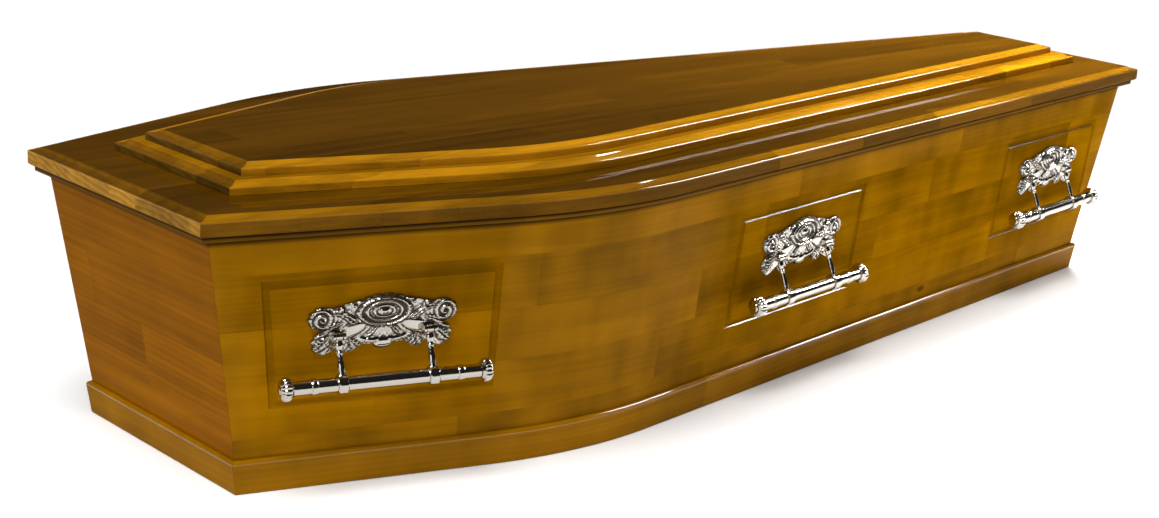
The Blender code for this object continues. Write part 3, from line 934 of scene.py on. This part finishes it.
def ring_tube(name, outer, inner, width, centre, sides):
    """Short tube across X with softened outer edges, centred on a depth and a height."""
    soft = 0.12 * width
    profile = ((-width / 2, inner), (-width / 2, outer - soft), (-width / 2 + soft, outer),
               (width / 2 - soft, outer), (width / 2, outer - soft), (width / 2, inner))
    rings = [[(x, centre[0] + radius * math.cos(angle), centre[1] + radius * math.sin(angle))
              for angle in around(sides)] for x, radius in profile]
    return closed_loft(name, rings, SHARP_TURNED)


def united(meshes, sharp=SHARP_TURNED):
    """One closed mesh from overlapping ones."""
    pieces = [link("part", mesh) for mesh in meshes]
    for piece in pieces[1:]:
        add_boolean(pieces[0], piece, "UNION")
    mesh = evaluated_mesh(pieces[0])
    for piece in pieces:
        bpy.data.objects.remove(piece, do_unlink=True)
    return smooth(mesh, sharp)


def hinge_lugs(side):
    """Two cheeks with the pin between them, as one body that runs into the plate."""
    lug, pin = [], []
    for angle in around(LUG_SIDES):
        reach, up = math.cos(angle), math.sin(angle)
        root = max(-reach, 0.0) ** 0.5
        lug.append((PIVOT_OUT + EYE_RADIUS * reach - root * (PIVOT_OUT - EYE_RADIUS - 0.5 * PLATE_RIM),
                    EYE_RADIUS * up * (1.0 + 0.15 * root)))
        pin.append((PIVOT_OUT + PIN_RADIUS * reach, PIN_RADIUS * up))
    rings = []
    for x, shape in ((-LUG_SPACE - LUG_WIDTH, lug), (-LUG_SPACE, lug), (-LUG_SPACE, pin),
                     (LUG_SPACE, pin), (LUG_SPACE, lug), (LUG_SPACE + LUG_WIDTH, lug)):
        rings.append([(side * ARM_SPACING / 2 + x, -out, z) for out, z in shape])
    return loft("lugs", rings, sharp=SHARP_LUG)


# Place down the stem, half width and half depth in millimetres
ARM_SHAPE = ((0.06, 3.8, 2.6), (0.11, 4.6, 3.0), (0.16, 5.6, 3.9), (0.21, 5.8, 4.1), (0.26, 5.0, 3.6),
             (0.30, 3.6, 3.0), (0.33, 3.8, 3.1), (0.35, 4.8, 3.7), (0.37, 4.9, 3.7), (0.39, 4.0, 3.2),
             (0.42, 3.5, 2.9), (0.50, 4.0, 3.2), (0.58, 4.7, 3.5), (0.66, 4.8, 3.5), (0.74, 4.2, 3.1),
             (0.80, 4.4, 3.1))


def arm_mesh():
    """Swept stem with a knuckle, a bead and a swelling, its eye and its collar."""
    def line(share):
        ease = 3 * share ** 2 - 2 * share ** 3
        return Vector((-ARM_REACH * ease, -ARM_DROP * share))

    rings = []
    for index in range((len(ARM_SHAPE) - 1) * STEM_STEPS + 1):
        low, part = divmod(index, STEM_STEPS)
        first, second = ARM_SHAPE[low], ARM_SHAPE[min(low + 1, len(ARM_SHAPE) - 1)]
        part /= STEM_STEPS
        share, half_x, half_deep = (a + (b - a) * (fade(part, 0.0, 1.0) if i else part)
                                    for i, (a, b) in enumerate(zip(first, second)))
        along = (line(share + 0.01) - line(share - 0.01)).normalized()
        across = Vector((-along.y, along.x))
        ring = []
        for angle in around(STEM_SIDES):
            point = line(share) + across * (half_deep / 1000 * math.sin(angle))
            ring.append((half_x / 1000 * math.cos(angle), point.x, point.y))
        rings.append(ring)
    stem = loft("stem", rings)
    eye = ring_tube("eye", EYE_RADIUS, EYE_HOLE, EYE_WIDTH, (0.0, 0.0), EYE_SIDES)
    hole = BAR_RADIUS + GAP
    centre = (-ARM_REACH, -ARM_DROP)
    collar = ring_tube("collar", hole + COLLAR_WALL, hole, COLLAR_WIDTH, centre, COLLAR_SIDES)
    return united([stem, eye, collar])


def bar_mesh():
    """Round bar with a moulded band near each end."""
    half = [(BAR_LENGTH / 2, BAR_RADIUS - BAR_SOFT), (BAR_LENGTH / 2 - BAR_SOFT, BAR_RADIUS)]
    band = ((0.62, 0.0), (0.58, 0.55), (0.50, 0.80), (0.40, 0.60), (0.38, 0.85), (0.30, 1.0))
    for x, proud in band + ((0.0, 1.08),) + tuple((-x, proud) for x, proud in reversed(band)):
        half.append((BAND_PLACE + x * BAND_WIDTH, BAR_RADIUS + proud * sizes().band_proud))
    return turned("handle bar", [(-x, r) for x, r in half] + half[::-1])


def cap_mesh():
    """Knob with ribs round its drum and petals on its domed end."""
    shape = ((0.0, 0.70), (0.04, 0.74), (0.10, 0.80), (0.16, 0.92), (0.24, 0.99), (0.34, 1.0),
             (0.46, 1.0), (0.58, 0.98), (0.68, 0.93), (0.76, 0.84), (0.83, 0.72), (0.88, 0.60),
             (0.90, 0.50), (0.905, 0.42), (0.95, 0.38), (0.985, 0.28), (1.0, 0.14))

    def flute(x, angle):
        share = x / CAP_LENGTH
        depth = 0.10 * fade(share, 0.10, 0.30) * (1.0 - fade(share, 0.86, 0.90))
        return 1.0 - depth * (1.0 - abs(math.sin(CAP_RIBS * angle)) ** 0.8)

    profile = [(CAP_LENGTH * x, CAP_RADIUS * radius) for x, radius in shape]
    return turned("handle cap", profile, CAP_SIDES, flute, SHARP_CAP)


# Settings


def a_length(name, description, default, low, high):
    return bpy.props.FloatProperty(name=name, description=description, default=default,
                                   min=low, max=high, precision=4, unit="LENGTH")


def a_colour(name, description, default):
    return bpy.props.FloatVectorProperty(name=name, description=description, default=default, size=3,
                                         subtype="COLOR")


def a_share(name, description, default, low=0.0):
    return bpy.props.FloatProperty(name=name, description=description, default=default, min=low, max=1.0,
                                   subtype="FACTOR")


def a_number(name, description, default):
    return bpy.props.FloatProperty(name=name, description=description, default=default)


class CoffinSizes(bpy.types.PropertyGroup):
    """Finer sizes, which the solids' own shape leaves open."""

    edge_round: a_length("Board edge", "Radius on the upper edge of the lid's boards", 0.0022, 0.0005, 0.004)
    crease_round: a_length("Cove crease", "Radius where a cove meets the flat top", 0.0034, 0.001, 0.015)
    plinth_round: a_length("Plinth edge", "Radius on the plinth's upper edge", 0.0050, 0.001, 0.007)
    rim_round: a_length("Rim edge", "Radius on the rim's edges", 0.0016, 0.0005, 0.003)
    groove_width: a_length("Groove width", "Width of the groove round each handle", 0.0100, 0.003, 0.014)
    groove_depth: a_length("Groove depth", "Depth of the groove round each handle", 0.0030, 0.0005, 0.004)
    band_proud: a_length("Bar bands", "How far the moulded bands stand out of a bar", 0.0011, 0.0, 0.0012)
    plate_relief: a_share("Plate relief", "Height of the casting's ornament", 1.0, 0.2)


class CoffinFinish(bpy.types.PropertyGroup):
    """Colours and strengths of the varnished wood and the plated metal."""

    light: a_colour("Early wood", "Pale grain of the case", (0.278, 0.119, 0.0006))
    dark: a_colour("Late wood", "Dark grain of the case", (0.155, 0.062, 0.0003))
    # Painted light and shade: the lid's edges take a lit copy of the pine and its flat tops a shaded copy
    edge_light: a_colour("Moulding early wood", "Pale grain of the lid's edges", (0.50, 0.213, 0.004))
    edge_dark: a_colour("Moulding late wood", "Dark grain of the lid's edges", (0.27, 0.104, 0.002))
    top_light: a_colour("Lid early wood", "Pale grain of the lid's flat tops", (0.090, 0.036, 0.0010))
    top_dark: a_colour("Lid late wood", "Dark grain of the lid's flat tops", (0.044, 0.017, 0.0006))
    end_light: a_colour("Pale end grain", "Pale rings on the lid's ends", (0.38, 0.185, 0.020))
    end_dark: a_colour("Dark end grain", "Dark rings on the lid's ends", (0.15, 0.062, 0.005))
    metal: a_colour("Metal", "Colour of the bright plating", (0.55, 0.515, 0.455))
    # Colour of the painted shade in the casting's hollows
    metal_dark: a_colour("Hollows", "Colour in the hollows of the casting", (0.055, 0.045, 0.035))
    rings: a_number("Rings", "Growth rings in each metre", 120.0)
    grain: a_number("Grain", "Contrast of the growth rings", 0.22)
    tone: a_number("Stave tone", "Difference between staves", 0.26)
    cloud: a_number("Clouding", "Slow changes along a stave", 0.60)
    fibre: a_number("Fibres", "Contrast of the fine fibres", 0.22)
    streak: a_number("Streaks", "Contrast of long streaks", 0.45)
    figure: a_number("Figure", "Patches across the grain", 0.62)
    coat: a_share("Varnish", "Weight of the varnish coat", 0.6)
    gloss: a_share("Varnish roughness", "Roughness of the varnish coat", 0.22)
    sheen: a_share("Surface sheen", "Specular level below the varnish", 0.0)


class WoodLook:
    """Values of the finish settings, some of them changed for one board.

    With catches_light the varnish shows on upward faces alone, whatever the mesh says.
    """

    def __init__(self, settings, catches_light=False, **changes):
        self.catches_light = catches_light
        for key in CoffinFinish.__annotations__:
            value = getattr(settings, key)
            setattr(self, key, changes.get(key, tuple(value) if hasattr(value, "__len__") else value))


def finish_settings():
    return bpy.context.scene.coffin_finish


def sizes():
    return bpy.context.scene.coffin_sizes


def scaled(colour, red, green=None, blue=None):
    """Colour with its channels multiplied."""
    green = red if green is None else green
    blue = red if blue is None else blue
    return (colour[0] * red, colour[1] * green, colour[2] * blue)


# Operators


class CoffinCase(bpy.types.Operator):
    """Side, head and foot boards with their grooves, and the base board's finish"""

    bl_idname = "coffin.case"
    bl_label = "Case"

    def execute(self, context):
        settings = finish_settings()
        # Painted shadow on the walls below the rim
        rim_shadow = (RIM_LOW, RIM_SHADOW_DEPTH)
        side_look = WoodLook(settings, grain=0.14, figure=1.2, cloud=0.8, tone=0.34)
        side = varnished_pine("side pine", side_look, SIDE_STAVE, shade_line=rim_shadow)
        # The groove's colours are darkened as painted shade in the recess
        shaded_groove_look = WoodLook(settings, catches_light=True, light=scaled(settings.light, 0.82),
                               dark=scaled(settings.dark, 0.82), grain=0.14, figure=1.2,
                               coat=0.8, gloss=0.14)
        groove = varnished_pine("groove pine", shaded_groove_look, SIDE_STAVE)
        end_look = WoodLook(settings, light=scaled(settings.light, 0.98, 0.80, 1.0),
                            dark=scaled(settings.dark, 1.03, 0.76, 1.0), figure=0.35, streak=1.0, tone=0.4)
        end = varnished_pine("end pine", end_look, END_STAVE, shade_line=rim_shadow)
        names = ("side_board_near", "side_board_far", "head_board", "foot_board")
        boards = strips(names, wall_section, (side, end))
        for board, name in zip(boards, SIDES):
            cut_grooves(board, name, groove)
        rings = [outline(*(wall_face(part, z) for part in WALL_INSET), z) for z in (0.0, BASE_TOP)]
        base = loft("base_board", rings, marks={"polish": [FACE_POLISH] * len(rings)})
        add_piece("wood", "base_board", base, side)
        return {"FINISHED"}


class CoffinMouldings(bpy.types.Operator):
    """Plinth moulding round the foot of the walls and rim moulding under the lid"""

    bl_idname = "coffin.mouldings"
    bl_label = "Mouldings"

    def execute(self, context):
        settings = finish_settings()
        look = WoodLook(settings, coat=1.0, gloss=0.07, cloud=0.75, figure=0.8)
        # The rim's colours are darkened to about half, painted shade under the lid's overhang
        shaded_rim_look = WoodLook(settings, coat=1.0, gloss=0.07, light=scaled(settings.light, 0.55),
                            dark=scaled(settings.dark, 0.55))
        plinth_pine = varnished_pine("plinth pine", look, STRIP_STAVE)
        # Painted shadow on the rim below the lid
        rim_pine = varnished_pine("rim pine", shaded_rim_look, STRIP_STAVE, shade_line=(CASE_TOP, LID_SHADOW_DEPTH))
        for part, section, pine in (("plinth", plinth_section, plinth_pine), ("rim", rim_section, rim_pine)):
            names = [part + "_" + place for place in ("near", "far", "head", "foot")]
            strips(names, section, (pine, pine))
        return {"FINISHED"}


class CoffinLid(bpy.types.Operator):
    """Lid board and the two raised boards with their moulded edges"""

    bl_idname = "coffin.lid"
    bl_label = "Lid"

    def execute(self, context):
        settings = finish_settings()
        shared = {"tone": 0.5, "streak": 0.8, "figure": 0.25, "coat": 1.0, "gloss": 0.04}
        # Painted light and shade: the raised boards' edges take the lit colours, their ends end grain
        # darkened to a third
        look = WoodLook(settings, light=settings.edge_light, dark=settings.edge_dark,
                        end_light=scaled(settings.end_light, 0.32), end_dark=scaled(settings.end_dark, 0.32),
                        **shared)
        pine = varnished_pine("lid pine", look, LID_STAVE, end_grain=True)
        # The lid board takes a darker copy of the lit edge colours, and less of it on its upright face
        board_look = WoodLook(settings, light=scaled(settings.edge_light, 0.55),
                              dark=scaled(settings.edge_dark, 0.50), **shared)
        board_pine = varnished_pine("lid board pine", board_look, LID_STAVE, end_grain=True)
        upper_inset = [inset + LOWER_COVE + LEDGE for inset in RAISED_INSET]
        lid_piece("lid_board", (0.0, 0.0, 0.0), (LID_COVE, LID_RISE, LID_CHAMFER), board_pine, face=0.35)
        lid_piece("raised_board_lower", RAISED_INSET, (LOWER_COVE, LOWER_RISE), pine, flat=0.45)
        lid_piece("raised_board_upper", upper_inset, (UPPER_COVE, UPPER_RISE), pine)
        return {"FINISHED"}


class CoffinHandles(bpy.types.Operator):
    """Cast plates, and the bars with their arms and caps"""

    bl_idname = "coffin.handles"
    bl_label = "Handles"

    def execute(self, context):
        metal = bright_metal("bright plated casting", WoodLook(finish_settings()))
        plate = united([plate_mesh(), hinge_lugs(-1), hinge_lugs(1)], SHARP_CAST)
        arm, bar, cap = arm_mesh(), bar_mesh(), cap_mesh()
        bar_place = Matrix.Translation((0.0, -ARM_REACH, -ARM_DROP))
        for label in LABELS:
            hinge, swing = handle_frame(label), "handle_" + label
            plate_place = wall_frame(label) @ Matrix.Translation((0.0, -GAP, 0.0))
            pieces = [("plate_" + label, plate, "coffin", plate_place),
                      ("bar_" + label, bar, swing, hinge @ bar_place)]
            for mark, side in (("a", -1), ("b", 1)):
                arm_place = hinge @ Matrix.Translation((side * ARM_SPACING / 2, 0.0, 0.0))
                cap_place = hinge @ bar_place @ Matrix.Translation((side * (BAR_LENGTH / 2 + GAP), 0.0, 0.0))
                if side < 0:
                    cap_place = cap_place @ Matrix.Rotation(math.pi, 4, "Z")
                pieces += [("arm_" + label + "_" + mark, arm, swing, arm_place),
                           ("cap_" + label + "_" + mark, cap, swing, cap_place)]
            for name, mesh, body, place in pieces:
                add_piece("cast", "handle_" + name, mesh, metal, body, place)
        return {"FINISHED"}


class CoffinStage(bpy.types.Operator):
    """Pale floor, studio lights and the camera at the photograph's place"""

    bl_idname = "coffin.stage"
    bl_label = "Stage"

    def execute(self, context):
        make_floor()
        make_lights()
        make_camera()
        return {"FINISHED"}


def make_floor():
    work = bmesh.new()
    bmesh.ops.create_circle(work, cap_ends=True, segments=FLOOR_SIDES, radius=FLOOR_RADIUS)
    mesh = bpy.data.meshes.new("floor")
    work.to_mesh(mesh)
    work.free()
    floor = link("floor", mesh)
    floor.location.z = -FLOOR_DROP
    graph = Graph("pale floor")
    graph.shade(Base_Color=colour4([FLOOR_TONE] * 3), Roughness=0.9, Specular_IOR_Level=0.0)
    mesh.materials.append(graph.finish)


def add_lamp(name, kind, place, target, power, **settings):
    """Put in a lamp that shines from a place towards a target."""
    lamp = bpy.data.lights.new(name, kind)
    lamp.energy = power
    for key, value in settings.items():
        setattr(lamp, key, value)
    item = link(name, lamp)
    item.location = place
    item.rotation_euler = (Vector(target) - Vector(place)).to_track_quat("-Z", "Y").to_euler()
    return item


def make_lights():
    scene = bpy.context.scene
    world = bpy.data.worlds.new("studio")
    scene.world = world
    world.use_nodes = True
    sky = world.node_tree.nodes["Background"]
    sky.inputs["Color"].default_value = (1.0, 1.0, 1.0, 1.0)
    sky.inputs["Strength"].default_value = SKY_STRENGTH
    add_lamp("overhead cloud", "SUN", (-0.33, -0.17, 0.92), (0.0, 0.0, 0.0), 3.8, angle=math.radians(34.0))
    strip = add_lamp("foot softbox", "AREA", (3.5, -0.9, 3.0), (0.4, -0.15, 0.35), 330.0,
                     shape="RECTANGLE", size=0.45, size_y=2.3)
    strip.visible_diffuse = False
    add_lamp("head softbox", "AREA", (-4.0, -2.5, 1.5), (-0.7, -0.1, 0.25), 24.0,
             shape="RECTANGLE", size=2.6, size_y=1.8)
    above = add_lamp("foot top softbox", "AREA", (1.3, 0.5, 2.0), (0.80, 0.0, 0.41), 17.0,
                     shape="RECTANGLE", size=1.0, size_y=1.0, spread=math.radians(60.0))
    above.visible_glossy = False
    scene.view_settings.view_transform = "Standard"


def make_camera():
    yaw, pitch, roll = CAMERA_YAW, CAMERA_PITCH, CAMERA_ROLL
    forward = Vector((math.sin(yaw) * math.cos(pitch), math.cos(yaw) * math.cos(pitch), -math.sin(pitch)))
    right = Vector((math.cos(yaw), -math.sin(yaw), 0.0))
    up = right.cross(forward)
    tilted_right = right * math.cos(roll) + up * math.sin(roll)
    tilted_up = up * math.cos(roll) - right * math.sin(roll)
    data = bpy.data.cameras.new("camera")
    data.sensor_width = SENSOR_WIDTH
    data.lens = FOCAL_PIXELS / IMAGE_WIDTH * SENSOR_WIDTH
    camera = link("camera", data)
    axes = Matrix((tilted_right, tilted_up, -forward)).transposed().to_4x4()
    camera.matrix_world = Matrix.Translation(CAMERA_PLACE) @ axes
    bpy.context.scene.camera = camera


class CoffinPanel(bpy.types.Panel):
    """Lists the settings and the pieces in the 3D view's sidebar"""

    bl_idname = "VIEW3D_PT_coffin"
    bl_label = "Coffin"
    bl_space_type = "VIEW_3D"
    bl_region_type = "UI"
    bl_category = "Coffin"

    def draw(self, context):
        for group in (context.scene.coffin_sizes, context.scene.coffin_finish):
            for key in type(group).__annotations__:
                self.layout.prop(group, key)
        for operator in OPERATORS:
            self.layout.operator(operator.bl_idname)


OPERATORS = (CoffinCase, CoffinMouldings, CoffinLid, CoffinHandles, CoffinStage)
CLASSES = (CoffinSizes, CoffinFinish) + OPERATORS + (CoffinPanel,)


def register():
    for item in CLASSES:
        bpy.utils.register_class(item)
    bpy.types.Scene.coffin_sizes = bpy.props.PointerProperty(type=CoffinSizes)
    bpy.types.Scene.coffin_finish = bpy.props.PointerProperty(type=CoffinFinish)


def unregister():
    del bpy.types.Scene.coffin_finish
    del bpy.types.Scene.coffin_sizes
    for item in reversed(CLASSES):
        bpy.utils.unregister_class(item)


def main():
    register()
    for operator in (bpy.ops.coffin.case, bpy.ops.coffin.mouldings, bpy.ops.coffin.lid,
                     bpy.ops.coffin.handles, bpy.ops.coffin.stage):
        operator()


if __name__ == "__main__":
    main()
